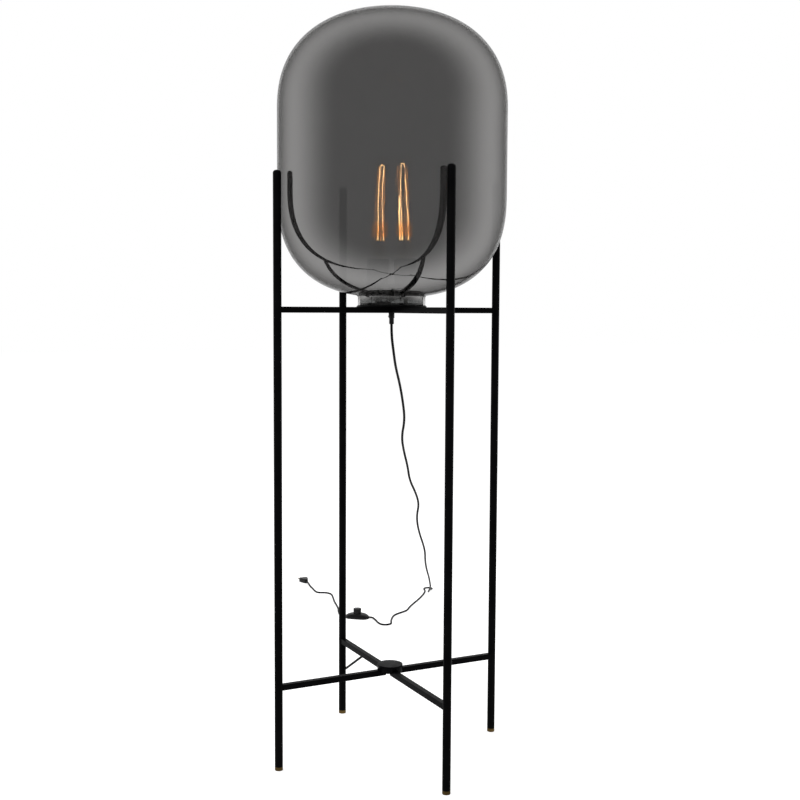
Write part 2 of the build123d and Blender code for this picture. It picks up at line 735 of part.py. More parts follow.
for number, seat in enumerate(bulb_seats, start=1):
    name = f"bulb_{number}"

    with BuildPart() as contact:
        turn(seat, [(0, 0), (end_contact_radius, 0), (end_contact_radius, end_contact_height),
                    (0, end_contact_height)])
        fillet(contact.edges().filter_by(GeomType.CIRCLE).sort_by_distance(seat.origin)[0], end_contact_height / 2)
    write(contact.part, f"{name}_contact")

    with BuildPart() as insulator:
        turn(seat, [(0, end_contact_height), (insulator_tip_radius, end_contact_height),
                    (insulator_radius, cap_bottom),
                    (insulator_radius, cap_bottom + cap_wall), (cap_bore - seat_clearance, cap_bottom + cap_wall),
                    (cap_bore - seat_clearance, insulator_top), (0, insulator_top)])
    write(insulator.part, f"{name}_insulator")

    # Screw cap: ridges stand for the thread outside, plain inside, with a turned-in floor.
    ridges = []
    for ridge in range(cap_thread_turns):
        foot = thread_start + ridge * cap_thread_pitch
        ridges += [(cap_core_radius, foot), (cap_radius, foot + cap_thread_pitch / 2)]
    ridges.append((cap_core_radius, foot + cap_thread_pitch))
    with BuildPart() as cap:
        turn(seat, [(cap_hole, cap_bottom), (cap_core_radius, cap_bottom), *ridges, (cap_core_radius, cap_top),
                    (cap_bore, cap_top), (cap_bore, cap_bottom + cap_wall), (cap_hole, cap_bottom + cap_wall)])
    write(cap.part, f"{name}_cap")

    with BuildPart() as glass:
        for inset, mode in ((0.0, Mode.ADD), (bulb_wall, Mode.SUBTRACT)):
            with BuildSketch(seat) as section:
                with BuildLine():
                    bulb_wall_line(inset)
                    Line((0, bulb_length - inset), (0, glass_foot))
                    Line((0, glass_foot), (bulb_waist_radius - inset, glass_foot))
                make_face()
            revolve(section.sketch, axis=seat_axis(seat), mode=mode)
    write(glass.part, f"{name}_glass")

    # Mount: a flare that closes the foot of the glass, a neck, and the rod that carries the cage.
    flare = bulb_waist_radius - bulb_wall - seat_clearance
    flare_rise = mount_flare_level - glass_foot
    flare_outer = [(flare, glass_foot), (flare * 0.75, glass_foot + flare_rise * 0.25),
                   (flare * 0.45, glass_foot + flare_rise * 0.6), (mount_neck_radius, mount_flare_level)]
    flare_inner = [(radius - bulb_wall, height) for radius, height in reversed(flare_outer)]
    with BuildPart() as mount:
        turn(seat, [*flare_outer, (mount_neck_radius, mount_press_level), (mount_rod_radius, mount_press_level),
                    (mount_rod_radius, rod_top), (0, rod_top), (0, mount_press_level - mount_neck_radius),
                    (mount_neck_radius - bulb_wall, mount_press_level - 2 * mount_neck_radius), *flare_inner])
    write(mount.part, f"{name}_mount")

    # Filament: one wire that goes up and down round the cage.
    ends = []
    for strand, angle in enumerate(cage_angles):
        pair = [on_bulb(seat, cage_bottom_radius, angle, cage_bottom),
                on_bulb(seat, cage_top_radius, angle, cage_top)]
        ends += reversed(pair) if strand % 2 else pair
    with BuildPart() as filament:
        wire(filament_radius, ends, 2 * filament_radius)
    write(filament.part, f"{name}_filament")

    # Supports: a hook for each turn of the cage, and the two leads up from the neck to its ends.
    with BuildPart() as supports:
        for strand in range(cage_strands - 1):
            top = strand % 2 == 0
            middle = (cage_angles[strand] + cage_angles[strand + 1]) / 2
            height = cage_top if top else cage_bottom
            reach = (cage_top_radius if top else cage_bottom_radius) * cos(half_step) - filament_radius - support_gap
            wire(support_radius, [on_bulb(seat, mount_rod_radius, middle, height),
                                  on_bulb(seat, reach, middle, height)])
        for angle in (cage_angles[0], cage_angles[-1]):
            inner = (mount_rod_radius + mount_neck_radius) / 2
            wire(support_radius, [on_bulb(seat, inner, angle, mount_press_level),
                                  on_bulb(seat, inner, angle, mount_press_level + mount_neck_radius),
                                  on_bulb(seat, cage_bottom_radius, angle, cage_bottom - support_gap)],
                 2 * support_radius)
    write(supports.part, f"{name}_supports")

# ================= cord grip =================
collar_bottom = upper_bar_bottom - grip_collar_length
grip_bottom = collar_bottom - grip_length
spigot_bore = grip_spigot_radius + seat_clearance
cord_bore = cord_radius + seat_clearance
screw_level = (collar_bottom + grip_spigot_length + lower_nipple_bottom) / 2
axis_seat = upright_plane(cluster_turn)
grip_screw_plane = Plane(origin=Vector(0, 0, screw_level) - along_direction * cord_bore, z_dir=-along_direction)

# Collar under the cross, screwed on the nipple, and the plain sleeve below it that holds the cord.
with BuildPart() as grip:
    turn(axis_seat, [(spigot_bore, collar_bottom), (grip_collar_radius, collar_bottom),
                     (grip_collar_radius, upper_bar_bottom), (nipple_radius + thread_clearance, upper_bar_bottom),
                     (nipple_radius + thread_clearance, lower_nipple_bottom), (spigot_bore, lower_nipple_bottom)])
    with BuildSketch(grip_screw_plane) as screw_hole:
        Circle(grip_screw_radius + thread_clearance)
    extrude(screw_hole.sketch, amount=grip_collar_radius, mode=Mode.SUBTRACT)
    turn(axis_seat, [(cord_bore, grip_bottom), (grip_radius - grip_edge, grip_bottom),
                     (grip_radius, grip_bottom + grip_edge), (grip_radius, collar_bottom),
                     (grip_spigot_radius, collar_bottom), (grip_spigot_radius, collar_bottom + grip_spigot_length),
                     (cord_bore, collar_bottom + grip_spigot_length)])
write(grip.part, "cord_grip")

with BuildPart() as grip_screw:
    with BuildSketch(grip_screw_plane):
        Circle(grip_screw_radius)
    extrude(amount=grip_collar_radius + grip_screw_proud - cord_bore)
    fillet(grip_screw.edges().filter_by(GeomType.CIRCLE).sort_by(Axis((0, 0, 0), along_direction))[0],
           grip_screw_radius / 3)
write(grip_screw.part, "grip_screw")

with BuildPart() as sheath_end:
    with BuildSketch(Plane.XY.offset(grip_bottom)):
        Circle(cord_radius)
    extrude(amount=core_start - grip_bottom)
write(sheath_end.part, "cord_in_grip")

# ================= foot switch =================


def switch_plane(level):
    """Level plane under the switch, with X along its cord."""
    return Plane(origin=(switch_x, switch_y, level), x_dir=direction(switch_turn), z_dir=(0, 0, 1))


def switch_outline(inset):
    SlotOverall(switch_length - 2 * inset, switch_width - 2 * inset)


def switch_post_places():
    return Locations((switch_post_along, switch_post_across), (-switch_post_along, -switch_post_across))


switch_bush_end = switch_length / 2 + switch_bush_proud
boss_top = switch_floor + switch_boss_height
lip_inset = switch_wall / 2 + seat_clearance
post_bore = switch_screw_radius + thread_clearance
head_seat = boss_top - switch_floor

with BuildPart() as base:
    with BuildSketch(switch_plane(0)):
        switch_outline(0)
    extrude(amount=switch_base_height)
    with BuildSketch(switch_plane(switch_base_height)):
        switch_outline(lip_inset)
    extrude(amount=switch_lip_height)
    with BuildSketch(switch_plane(switch_floor)):
        switch_outline(switch_wall)
    extrude(amount=switch_height, mode=Mode.SUBTRACT)
    with BuildSketch(switch_plane(switch_floor)):
        with switch_post_places():
            Circle(switch_post_radius)
    extrude(amount=switch_boss_height)
    with BuildSketch(switch_plane(0)):
        with switch_post_places():
            Circle(switch_screw_head_radius + seat_clearance)
    extrude(amount=head_seat, mode=Mode.SUBTRACT)
    with BuildSketch(switch_plane(0)):
        with switch_post_places():
            Circle(post_bore)
    extrude(amount=boss_top, mode=Mode.SUBTRACT)
    with BuildSketch(Plane(origin=(switch_x, switch_y, cord_entry_level), z_dir=direction(switch_turn))):
        Circle(switch_bush_radius)
    extrude(amount=switch_length, both=True, mode=Mode.SUBTRACT)
write(base.part, "switch_base")

with BuildPart() as cover_inside:
    with BuildSketch(switch_plane(switch_base_height)):
        switch_outline(switch_wall)
    extrude(amount=switch_height - switch_wall - switch_base_height)
    fillet(cover_inside.edges().group_by(Axis.Z)[-1], switch_crown / 2)
with BuildPart() as cover:
    with BuildSketch(switch_plane(switch_base_height)):
        switch_outline(0)
    extrude(amount=switch_height - switch_base_height)
    fillet(cover.edges().group_by(Axis.Z)[-1], switch_crown)
    add(cover_inside.part, mode=Mode.SUBTRACT)
    with BuildSketch(switch_plane(switch_base_height)):
        switch_outline(switch_wall / 2)
    extrude(amount=switch_lip_height + seat_clearance, mode=Mode.SUBTRACT)
    with BuildSketch(switch_plane(switch_base_height)):
        Circle(button_radius + running_clearance)
    extrude(amount=switch_height, mode=Mode.SUBTRACT)
    with BuildSketch(switch_plane(boss_top)):
        with switch_post_places():
            Circle(switch_post_radius)
    extrude(amount=switch_height - switch_wall / 2 - boss_top)
    with BuildSketch(switch_plane(boss_top)):
        with switch_post_places():
            Circle(post_bore)
    extrude(amount=switch_screw_length, mode=Mode.SUBTRACT)
write(cover.part, "switch_cover")

with BuildPart() as switch_screws:
    with BuildSketch(switch_plane(head_seat - switch_screw_head_height)):
        with switch_post_places():
            Circle(switch_screw_head_radius)
    extrude(amount=switch_screw_head_height)
    with BuildSketch(switch_plane(head_seat)):
        with switch_post_places():
            Circle(switch_screw_radius)
    extrude(amount=switch_screw_length)
write(switch_screws.part, "switch_screws")

with BuildPart() as module:
    with BuildSketch(switch_plane(switch_floor)):
        Rectangle(module_length, module_width)
    extrude(amount=module_height)
    with BuildSketch(switch_plane(module_top)):
        Circle(stem_radius + running_clearance)
    extrude(amount=-(stem_grip + button_travel + running_clearance), mode=Mode.SUBTRACT)
write(module.part, "switch_module")

# Button: a cap with a flange that keeps it under the cover, and a stem down into the module.
switch_axis_seat = Plane(origin=(switch_x, switch_y, 0), x_dir=direction(switch_turn),
                         z_dir=direction(switch_turn).cross(Vector(0, 0, 1)))
with BuildPart() as button:
    turn(switch_axis_seat, [(0, module_top - stem_grip), (stem_radius, module_top - stem_grip),
                            (stem_radius, button_top - button_wall),
                            (button_radius - button_wall, button_top - button_wall),
                            (button_radius - button_wall, button_seat), (button_flange_radius, button_seat),
                            (button_flange_radius, button_seat + button_flange_height),
                            (button_radius, button_seat + button_flange_height), (button_radius, button_top),
                            (0, button_top)])
    fillet(button.edges().group_by(Axis.Z)[-1], button_edge)
write(button.part, "switch_button")


def switch_end(end, distance):
    """Plane across the cord at a distance from the switch's middle, facing away from it."""
    outwards = direction(switch_turn) * end
    return Plane(origin=Vector(switch_x, switch_y, cord_entry_level) + outwards * distance, z_dir=outwards)


# Bushes in both ends of the base, and the cord's ends from the bushes to the module.
with BuildPart() as bushes:
    for end in (-1, 1):
        with BuildSketch(switch_end(end, switch_bush_end - switch_bush_length)):
            Circle(switch_bush_radius)
            Circle(cord_bore, mode=Mode.SUBTRACT)
        extrude(amount=switch_bush_length)
write(bushes.part, "switch_bushes")

with BuildPart() as cord_ends:
    for end in (-1, 1):
        with BuildSketch(switch_end(end, module_length / 2)):
            Circle(cord_radius)
        extrude(amount=switch_bush_end - module_length / 2)
write(cord_ends.part, "switch_cord_ends")

# ================= plug =================
plug_start = Vector(plug_x, plug_y, plug_height / 2)
plug_heading = direction(plug_turn)
plug_floor = Plane(origin=plug_start - Vector(0, 0, plug_height / 2), x_dir=plug_heading, z_dir=(0, 0, 1))
pin_plane = Plane(origin=plug_start + plug_heading * (plug_length - pin_root),
                  x_dir=plug_heading.cross(Vector(0, 0, 1)), z_dir=plug_heading)

with BuildPart() as plug:
    with BuildSketch(plug_floor):
        Polygon((0, -plug_end_width / 2), (plug_length * 0.7, -plug_width / 2), (plug_length, -plug_width / 2),
                (plug_length, plug_width / 2), (plug_length * 0.7, plug_width / 2), (0, plug_end_width / 2),
                align=None)
    extrude(amount=plug_height)
    fillet(plug.edges().filter_by(Axis.Z), plug_corner)
    fillet(plug.edges().group_by(Axis.Z)[0] + plug.edges().group_by(Axis.Z)[-1], plug_edge)
    with BuildSketch(pin_plane):
        with Locations((-pin_spacing / 2, 0), (pin_spacing / 2, 0)):
            Circle(pin_radius + thread_clearance)
    extrude(amount=plug_length, mode=Mode.SUBTRACT)
write(plug.part, "plug_body")

with BuildPart() as pins:
    with BuildSketch(pin_plane):
        with Locations((-pin_spacing / 2, 0), (pin_spacing / 2, 0)):
            Circle(pin_radius)
    extrude(amount=pin_root + pin_length)
    fillet(pins.edges().sort_by(Axis.Y)[-2:], pin_radius / 2)
write(pins.part, "plug_pins")

# ================= cord =================


def bend_radii(route):
    """Largest bends that leave a tenth of the shorter run straight between two corners."""
    radii = []
    for before, corner, after in zip(route, route[1:], route[2:]):
        arriving = Vector(*corner) - Vector(*before)
        leaving = Vector(*after) - Vector(*corner)
        half_turn = radians(arriving.get_angle(leaving)) / 2
        radii.append(0.45 * min(arriving.length, leaving.length) / tan(half_turn))
    return radii


hang_run = [(0, 0, grip_bottom), (0, 0, grip_bottom - hang_first_run), *hang_route,
            switch_end(1, switch_bush_end + hang_last_run).origin, switch_end(1, switch_bush_end).origin]
tail_run = [switch_end(-1, switch_bush_end).origin, switch_end(-1, switch_bush_end + tail_first_run).origin,
            *tail_route, plug_start - plug_heading * tail_last_run, plug_start]
for label, route in (("cord_hang", hang_run), ("cord_tail", tail_run)):
    radii = bend_radii(route)
    with BuildPart() as cord:
        with BuildLine() as path:
            FilletPolyline(*route, radius=radii)
        with BuildSketch(Plane(origin=path.line @ 0, z_dir=path.line % 0)):
            Circle(cord_radius)
        sweep(path=path.line)
    write(cord.part, label)
    length = sum(edge.length for edge in path.edges())
    print(label, "length", round(length, 1), "tightest bend", round(min(radii), 1), "bends",
          [round(radius) for radius in radii])
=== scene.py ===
# Globe floor lamp: smoked glass globe between four black tube legs, with its cord, foot switch and plug.
# Metres, +Z up, origin on the floor under the middle of the frame, back leg at +Y. The sizes in the pieces' own
# dictionaries and routes are millimetres and degrees, unless a note says metres.
from math import cos, radians, sin

import bmesh
import bpy
import numpy as np
from mathutils import Matrix, Vector


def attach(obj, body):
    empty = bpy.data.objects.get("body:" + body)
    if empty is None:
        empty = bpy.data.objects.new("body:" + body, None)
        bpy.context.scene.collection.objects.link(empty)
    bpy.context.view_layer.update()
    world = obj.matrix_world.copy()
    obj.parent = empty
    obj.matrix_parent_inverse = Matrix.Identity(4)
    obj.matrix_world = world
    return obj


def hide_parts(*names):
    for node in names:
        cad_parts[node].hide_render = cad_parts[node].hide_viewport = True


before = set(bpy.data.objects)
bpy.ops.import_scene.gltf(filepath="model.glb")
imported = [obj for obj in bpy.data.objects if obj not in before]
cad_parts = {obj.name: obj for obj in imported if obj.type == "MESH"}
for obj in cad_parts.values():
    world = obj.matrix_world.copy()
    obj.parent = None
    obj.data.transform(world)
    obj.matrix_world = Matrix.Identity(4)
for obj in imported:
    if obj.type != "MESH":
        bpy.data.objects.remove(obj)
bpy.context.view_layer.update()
mm = 0.001


# nodes and colours
def linear(hexText):
    # sRGB to linear light: value / 12.92 near black, else ((value + 0.055) / 1.055) to the power 2.4
    value = np.array([int(hexText[i:i + 2], 16) for i in (0, 2, 4)]) / 255
    light = np.where(value <= 0.04045, value / 12.92, ((value + 0.055) / 1.055) ** 2.4)
    return (*light.tolist(), 1.0)


def addNode(tree, kind, inputs=None, **settings):
    # inputs maps a socket's name or number to a value, or to another node's output that feeds it
    node = tree.nodes.new("ShaderNode" + kind)
    for key, value in settings.items():
        setattr(node, key, value)
    for key, value in (inputs or {}).items():
        if isinstance(value, bpy.types.NodeSocket):
            tree.links.new(value, node.inputs[key])
        else:
            node.inputs[key].default_value = value
    return node


def newMaterial(name):
    material = bpy.data.materials.new(name)
    material.use_nodes = True
    material.node_tree.nodes.clear()
    return material, material.node_tree


def close(tree, shader):
    addNode(tree, "OutputMaterial", {"Surface": shader})


# camera, at the photograph's place
view = {
    "spot": (-0.9619, -1.9637, 0.8548),
    "yaw": 26.536, "pitch": 4.542, "roll": 0.2926,  # degrees: from +Y towards +X, down, anticlockwise
    "focalPixels": 1156.84, "framePixels": 800, "sensor": 36.0,  # sensor width in millimetres
    "reach": 60,  # metres that the camera sees
}


def makeCamera():
    # sets the camera by its three angles and returns the direction that it looks in
    yaw, pitch, roll = (radians(view[key]) for key in ("yaw", "pitch", "roll"))
    ahead = Vector((sin(yaw) * cos(pitch), cos(yaw) * cos(pitch), -sin(pitch)))
    level = Vector((cos(yaw), -sin(yaw), 0))
    rise = level.cross(ahead)
    side = level * cos(roll) + rise * sin(roll)
    top = rise * cos(roll) - level * sin(roll)
    data = bpy.data.cameras.new("camera")
    data.sensor_width = view["sensor"]
    data.lens = view["focalPixels"] / view["framePixels"] * view["sensor"]
    data.clip_end = view["reach"]
    camera = bpy.data.objects.new("camera", data)
    camera.matrix_world = Matrix.Translation(view["spot"]) @ Matrix((side, top, -ahead)).transposed().to_4x4()
    bpy.context.scene.collection.objects.link(camera)
    bpy.context.scene.camera = camera
    return ahead


ahead = makeCamera()
bpy.context.scene.view_settings.view_transform = "Standard"

# studio: white floor and surroundings, a dim room behind the camera, soft lamps
studio = {
    "floorSize": 40.0, "floorGlow": 0.45, "floorColour": "F4F4F4",
    "fill": 0.62,  # light of the surroundings on the object
    "roomDim": 0.19,  # brightness of the dim end of the room in reflections
    "dimFrom": 0.62, "dimTo": -0.62,  # cosine to the camera's direction where it is dimmest and where it ends
    "middle": (0, 0, 1.0),  # the floor dims by its direction from here
}


def roomShade(tree, direction):
    # brightness of the surroundings in a reflection: falls smoothly towards the dim end of the room
    towardsRoom = addNode(tree, "VectorMath", {0: direction, 1: -ahead}, operation="DOT_PRODUCT").outputs["Value"]
    span = {"From Min": studio["dimTo"], "From Max": studio["dimFrom"], "To Min": 1.0, "To Max": studio["roomDim"]}
    shade = addNode(tree, "MapRange", {"Value": towardsRoom, **span}, interpolation_type="SMOOTHSTEP")
    return shade.outputs["Result"]


def whereSeen(tree, path):
    # 1 where the camera sees the studio, straight or through glass, and 0 where the studio only lights the object
    return addNode(tree, "Math", {0: path["Is Camera Ray"], 1: path["Is Transmission Ray"]},
                   operation="MAXIMUM").outputs[0]


def makeWorld():
    # white where it is seen, the room's shade in reflections, and an even fill as light on the object
    world = bpy.data.worlds.new("studio")
    bpy.context.scene.world = world
    world.use_nodes = True
    tree = world.node_tree
    tree.nodes.clear()
    shade = roomShade(tree, addNode(tree, "TexCoord").outputs["Generated"])
    path = addNode(tree, "LightPath").outputs
    seen = whereSeen(tree, path)
    mirrored = addNode(tree, "Mix", {"Factor": path["Is Glossy Ray"], 2: studio["fill"], 3: shade}).outputs[0]
    strength = addNode(tree, "Mix", {"Factor": seen, 2: mirrored, 3: 1.0}).outputs[0]
    background = addNode(tree, "Background", {"Color": (1, 1, 1, 1), "Strength": strength})
    addNode(tree, "OutputWorld", {"Surface": background.outputs[0]})


def makeFloor():
    # matt white floor with a glow that brings it up to white where it is seen, and the room's shade in reflections
    half = studio["floorSize"] / 2
    mesh = bpy.data.meshes.new("floor")
    mesh.from_pydata([(-half, -half, 0), (half, -half, 0), (half, half, 0), (-half, half, 0)], [], [(0, 1, 2, 3)])
    floor = bpy.data.objects.new("floor", mesh)
    bpy.context.scene.collection.objects.link(floor)
    material, tree = newMaterial("studio floor, matt white")
    path = addNode(tree, "LightPath").outputs
    seen = whereSeen(tree, path)
    glow = addNode(tree, "Math", {0: seen, 1: studio["floorGlow"]}, operation="MULTIPLY").outputs[0]
    matt = addNode(tree, "BsdfDiffuse", {"Color": linear(studio["floorColour"])}).outputs[0]
    light = addNode(tree, "Emission", {"Color": (1, 1, 1, 1), "Strength": glow}).outputs[0]
    lit = addNode(tree, "AddShader", {0: matt, 1: light}).outputs[0]
    place = addNode(tree, "TexCoord").outputs["Object"]
    below = addNode(tree, "VectorMath", {0: place, 1: studio["middle"]}, operation="SUBTRACT").outputs["Vector"]
    direction = addNode(tree, "VectorMath", {0: below}, operation="NORMALIZE").outputs["Vector"]
    mirrored = addNode(tree, "Emission", {"Color": (1, 1, 1, 1), "Strength": roomShade(tree, direction)}).outputs[0]
    close(tree, addNode(tree, "MixShader", {0: path["Is Glossy Ray"], 1: lit, 2: mirrored}).outputs[0])
    mesh.materials.append(material)


def makeLamp(name, spot, target, size, watts):
    # round area lamp that only lights, and shows neither in mirrors nor through glass
    data = bpy.data.lights.new(name, "AREA")
    data.shape = "DISK"
    data.size = size
    data.energy = watts
    lamp = bpy.data.objects.new(name, data)
    lamp.location = spot
    lamp.rotation_euler = (Vector(target) - Vector(spot)).to_track_quat("-Z", "Y").to_euler()
    lamp.visible_glossy = False
    lamp.visible_transmission = False
    lamp.visible_camera = False
    bpy.context.scene.collection.objects.link(lamp)


softboxes = {  # each lamp's place, the spot that it faces, its width in metres and its watts
    "overhead softbox": ((0.0, 0.3, 4.2), (0, 0, 0.5), 3.0, 85),
    "left softbox": ((-3.2, -0.6, 2.4), (0, 0, 0.8), 2.0, 30),
}
makeWorld()
makeFloor()
for lampName, lampSettings in softboxes.items():
    makeLamp(lampName, *lampSettings)
print("stage ready")


# surfaces
shading = {
    "merge": 2e-6,  # metres within which points become one
    "made": 38, "copied": 30, "blown": 60, "thread": 80,  # degrees from which an edge stays sharp
}


def outlineOf(corners, steps=6):
    # straight sides between corners given as (x, y, radius); each inner corner with a radius becomes an arc tangent
    # to both sides
    places = np.array([corner[:2] for corner in corners], float)
    pieces = []
    for k, corner in enumerate(corners):
        radius = corner[2] if len(corner) > 2 else 0
        if not radius or k in (0, len(corners) - 1):
            pieces.append(places[k:k + 1])
            continue
        back = places[k - 1] - places[k]
        on = places[k + 1] - places[k]
        back, on = back / np.hypot(*back), on / np.hypot(*on)
        half = np.arccos(np.clip(back @ on, -1, 1)) / 2
        middle = places[k] + (back + on) / np.hypot(*(back + on)) * radius / np.sin(half)
        first = places[k] + back * radius / np.tan(half) - middle
        last = places[k] + on * radius / np.tan(half) - middle
        share = np.linspace(0, 1, steps + 1)[:, None]
        turn = np.pi - 2 * half
        pieces.append(middle + (np.sin((1 - share) * turn) * first + np.sin(share * turn) * last) / np.sin(turn))
    return np.vstack(pieces)


def surface(name, grids, body, material, replaces, closeRows=False, sharp=shading["made"]):
    # grids of points [rows, columns], joined row to row and round; a row drawn together to one point becomes a pole
    spots, quads, count = [], [], 0
    for points in grids:
        rows, columns = points.shape[:2]
        row, column = np.meshgrid(np.arange(rows if closeRows else rows - 1), np.arange(columns), indexing="ij")
        below, beside = (row + 1) % rows, (column + 1) % columns
        corners = np.stack([row * columns + column, row * columns + beside, below * columns + beside,
                            below * columns + column], -1)
        quads.append(corners.reshape(-1, 4) + count)
        spots.append(points.reshape(-1, 3))
        count += rows * columns
    mesh = bpy.data.meshes.new(name)
    mesh.from_pydata(np.vstack(spots), [], np.vstack(quads).tolist())
    return settle(name, mesh, body, material, replaces, sharp)


def settle(name, mesh, body, material, replaces, sharp):
    # merges poles and seams, turns faces outwards, smooths all but the sharp edges, sets the piece on its body, gives
    # it its material and hides the CAD nodes that it takes the place of
    work = bmesh.new()
    work.from_mesh(mesh)
    bmesh.ops.remove_doubles(work, verts=work.verts, dist=shading["merge"])
    bmesh.ops.recalc_face_normals(work, faces=work.faces)
    work.to_mesh(mesh)
    work.free()
    mesh.polygons.foreach_set("use_smooth", np.ones(len(mesh.polygons), bool))
    mesh.set_sharp_from_angle(angle=radians(sharp))
    mesh.materials.append(material)
    piece = bpy.data.objects.new(name, mesh)
    bpy.context.scene.collection.objects.link(piece)
    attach(piece, body)
    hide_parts(*replaces)
    return piece


def turned(profile, seat=Matrix.Identity(4), sides=64):
    # profile of (radius, height) in millimetres, carried round the seat's Z axis
    angle = np.linspace(0, 2 * np.pi, sides, endpoint=False)
    radius, height = profile[:, :1] * mm, profile[:, 1:] * mm
    points = np.stack([radius * np.cos(angle), radius * np.sin(angle), height + 0 * angle], -1)
    place = np.array(seat)
    return points @ place[:3, :3].T + place[:3, 3]


def smoothCopy(node, material, body="root"):
    # the CAD piece's own shape with its triangles joined, so that its round faces shade smoothly
    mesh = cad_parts[node].data.copy()
    mesh.materials.clear()
    return settle(node + "_shown", mesh, body, material, [node], shading["copied"])


# finishes, with patch, relief and grain in millimetres
finishes = {
    # powder coat: deep black, low soft gloss, and an orange peel of about 2 mm
    "blackPaint": {"name": "powder coat, satin black", "colours": ("070708", "0C0C0D"), "patch": 40.0,
                   "roughness": (0.33, 0.43), "relief": 0.006, "grain": 1.8,
                   "sockets": {"Specular IOR Level": 0.025}},
    # lacquered brass, turned: warm and dull, with a slight cloudiness
    "brass": {"name": "brass, lacquered", "colours": ("6E5B38", "5D4B2C"), "patch": 12.0,
              "roughness": (0.3, 0.42), "relief": 0.01, "grain": 0.8, "sockets": {"Metallic": 1.0}},
    # moulded nitrile: matt black that takes no highlight
    "rubber": {"name": "nitrile rubber, moulded", "colours": ("101011", "161617"), "patch": 15.0,
               "roughness": (0.6, 0.75), "relief": 0.03, "grain": 0.7, "sockets": {"Specular IOR Level": 0.3}},
    # zinc plating on rolled strip: pale cool grey with a soft, uneven gloss
    "zinc": {"name": "steel, zinc plated", "colours": ("A9A8A3", "8F8F8B"), "patch": 8.0,
             "roughness": (0.3, 0.45), "relief": 0.01, "grain": 0.6, "sockets": {"Metallic": 1.0}},
    # phenolic moulding: even dark grey with a smooth low gloss
    "phenolic": {"name": "phenolic, moulded grey", "colours": ("6C6E70", "76787A"), "patch": 20.0,
                 "roughness": (0.35, 0.45), "relief": 0.01, "grain": 0.9, "sockets": {"Specular IOR Level": 0.4}},
    # black moulding powder of the inner insulators: duller than the housings
    "mouldedInsulator": {"name": "moulding compound, black", "colours": ("151516", "1C1C1D"), "patch": 10.0,
                         "roughness": (0.4, 0.5), "relief": 0.01, "grain": 0.8,
                         "sockets": {"Specular IOR Level": 0.4}},
    # nickel plating on brass: warm silver, fairly bright
    "nickel": {"name": "brass, nickel plated", "colours": ("B8B2A6", "A39D92"), "patch": 6.0,
               "roughness": (0.2, 0.32), "relief": 0.006, "grain": 0.7, "sockets": {"Metallic": 1.0}},
    # drawn steel wire: dark silver
    "wireSteel": {"name": "steel wire, drawn", "colours": ("77756F", "8A8780"), "patch": 5.0,
                  "roughness": (0.25, 0.35), "relief": 0.004, "grain": 0.3, "sockets": {"Metallic": 1.0}},
    # extruded PVC: black with a faint sheen and slight waviness
    "sheath": {"name": "PVC sheath, extruded black", "colours": ("08080A", "0C0C0E"), "patch": 18.0,
               "roughness": (0.45, 0.55), "relief": 0.015, "grain": 0.9, "sockets": {"Specular IOR Level": 0.1}},
    # moulded ABS with a spark-eroded grain of half a millimetre: black, softly diffusing
    "mouldedBlack": {"name": "ABS, moulded black", "colours": ("0C0C0E", "111113"), "patch": 14.0,
                     "roughness": (0.38, 0.48), "relief": 0.02, "grain": 0.5,
                     "sockets": {"Specular IOR Level": 0.22}},
}
noiseSpan = {"From Min": 0.3, "From Max": 0.7}  # where nearly all values of a noise pattern lie
cloudsPerPatch = 3  # the gloss wanders in finer patches than the colour
fineDetail = 3.0  # octaves of the uneven patterns


def makeFinish(recipe):
    # two close colours in soft patches, roughness that wanders between two values, and a fine relief
    material, tree = newMaterial(recipe["name"])
    place = addNode(tree, "TexCoord").outputs["Object"]
    patch = addNode(tree, "TexNoise", {"Vector": place, "Scale": 1 / (recipe["patch"] * mm)}).outputs["Fac"]
    share = addNode(tree, "MapRange", {"Value": patch, **noiseSpan}).outputs["Result"]
    first, second = (linear(colour) for colour in recipe["colours"])
    tone = addNode(tree, "Mix", {"Factor": share, 6: first, 7: second}, data_type="RGBA").outputs[2]
    cloud = addNode(tree, "TexNoise", {"Vector": place, "Scale": cloudsPerPatch / (recipe["patch"] * mm),
                                       "Detail": fineDetail}).outputs["Fac"]
    gloss = addNode(tree, "MapRange", {"Value": cloud, **noiseSpan, "To Min": recipe["roughness"][0],
                                       "To Max": recipe["roughness"][1]})
    peel = addNode(tree, "TexNoise", {"Vector": place, "Scale": 1 / (recipe["grain"] * mm)}).outputs["Fac"]
    relief = addNode(tree, "Bump", {"Height": peel, "Distance": recipe["relief"] * mm, "Strength": 1.0}).outputs[0]
    shader = addNode(tree, "BsdfPrincipled", {"Base Color": tone, "Roughness": gloss.outputs["Result"],
                                              "Normal": relief, **recipe["sockets"]})
    close(tree, shader.outputs[0])
    return material


paint = {name: makeFinish(recipe) for name, recipe in finishes.items()}

film = {
    "tint": "DDDCDB", "rim": "6A6A6C",  # colour of the film, and painted shade on the wall seen edge on
    "rimFrom": 0.78, "rimTo": 0.88,  # how far the wall is turned away where that begins, and where it is full
    "mirror": 0.38, "neckMirror": 0.08, "glance": "3A3A3A",  # share that it mirrors, and its glancing mirror
    "smoke": "4B4A4A", "neckSmoke": "606262",  # what the glass below the film lets through
    "from": 0.866, "to": 0.876,  # heights in metres between which the neck's looks give way to the globe's
    "index": 1.05,  # lower than glass, so that the thin wall bends nothing and has no white rim
}


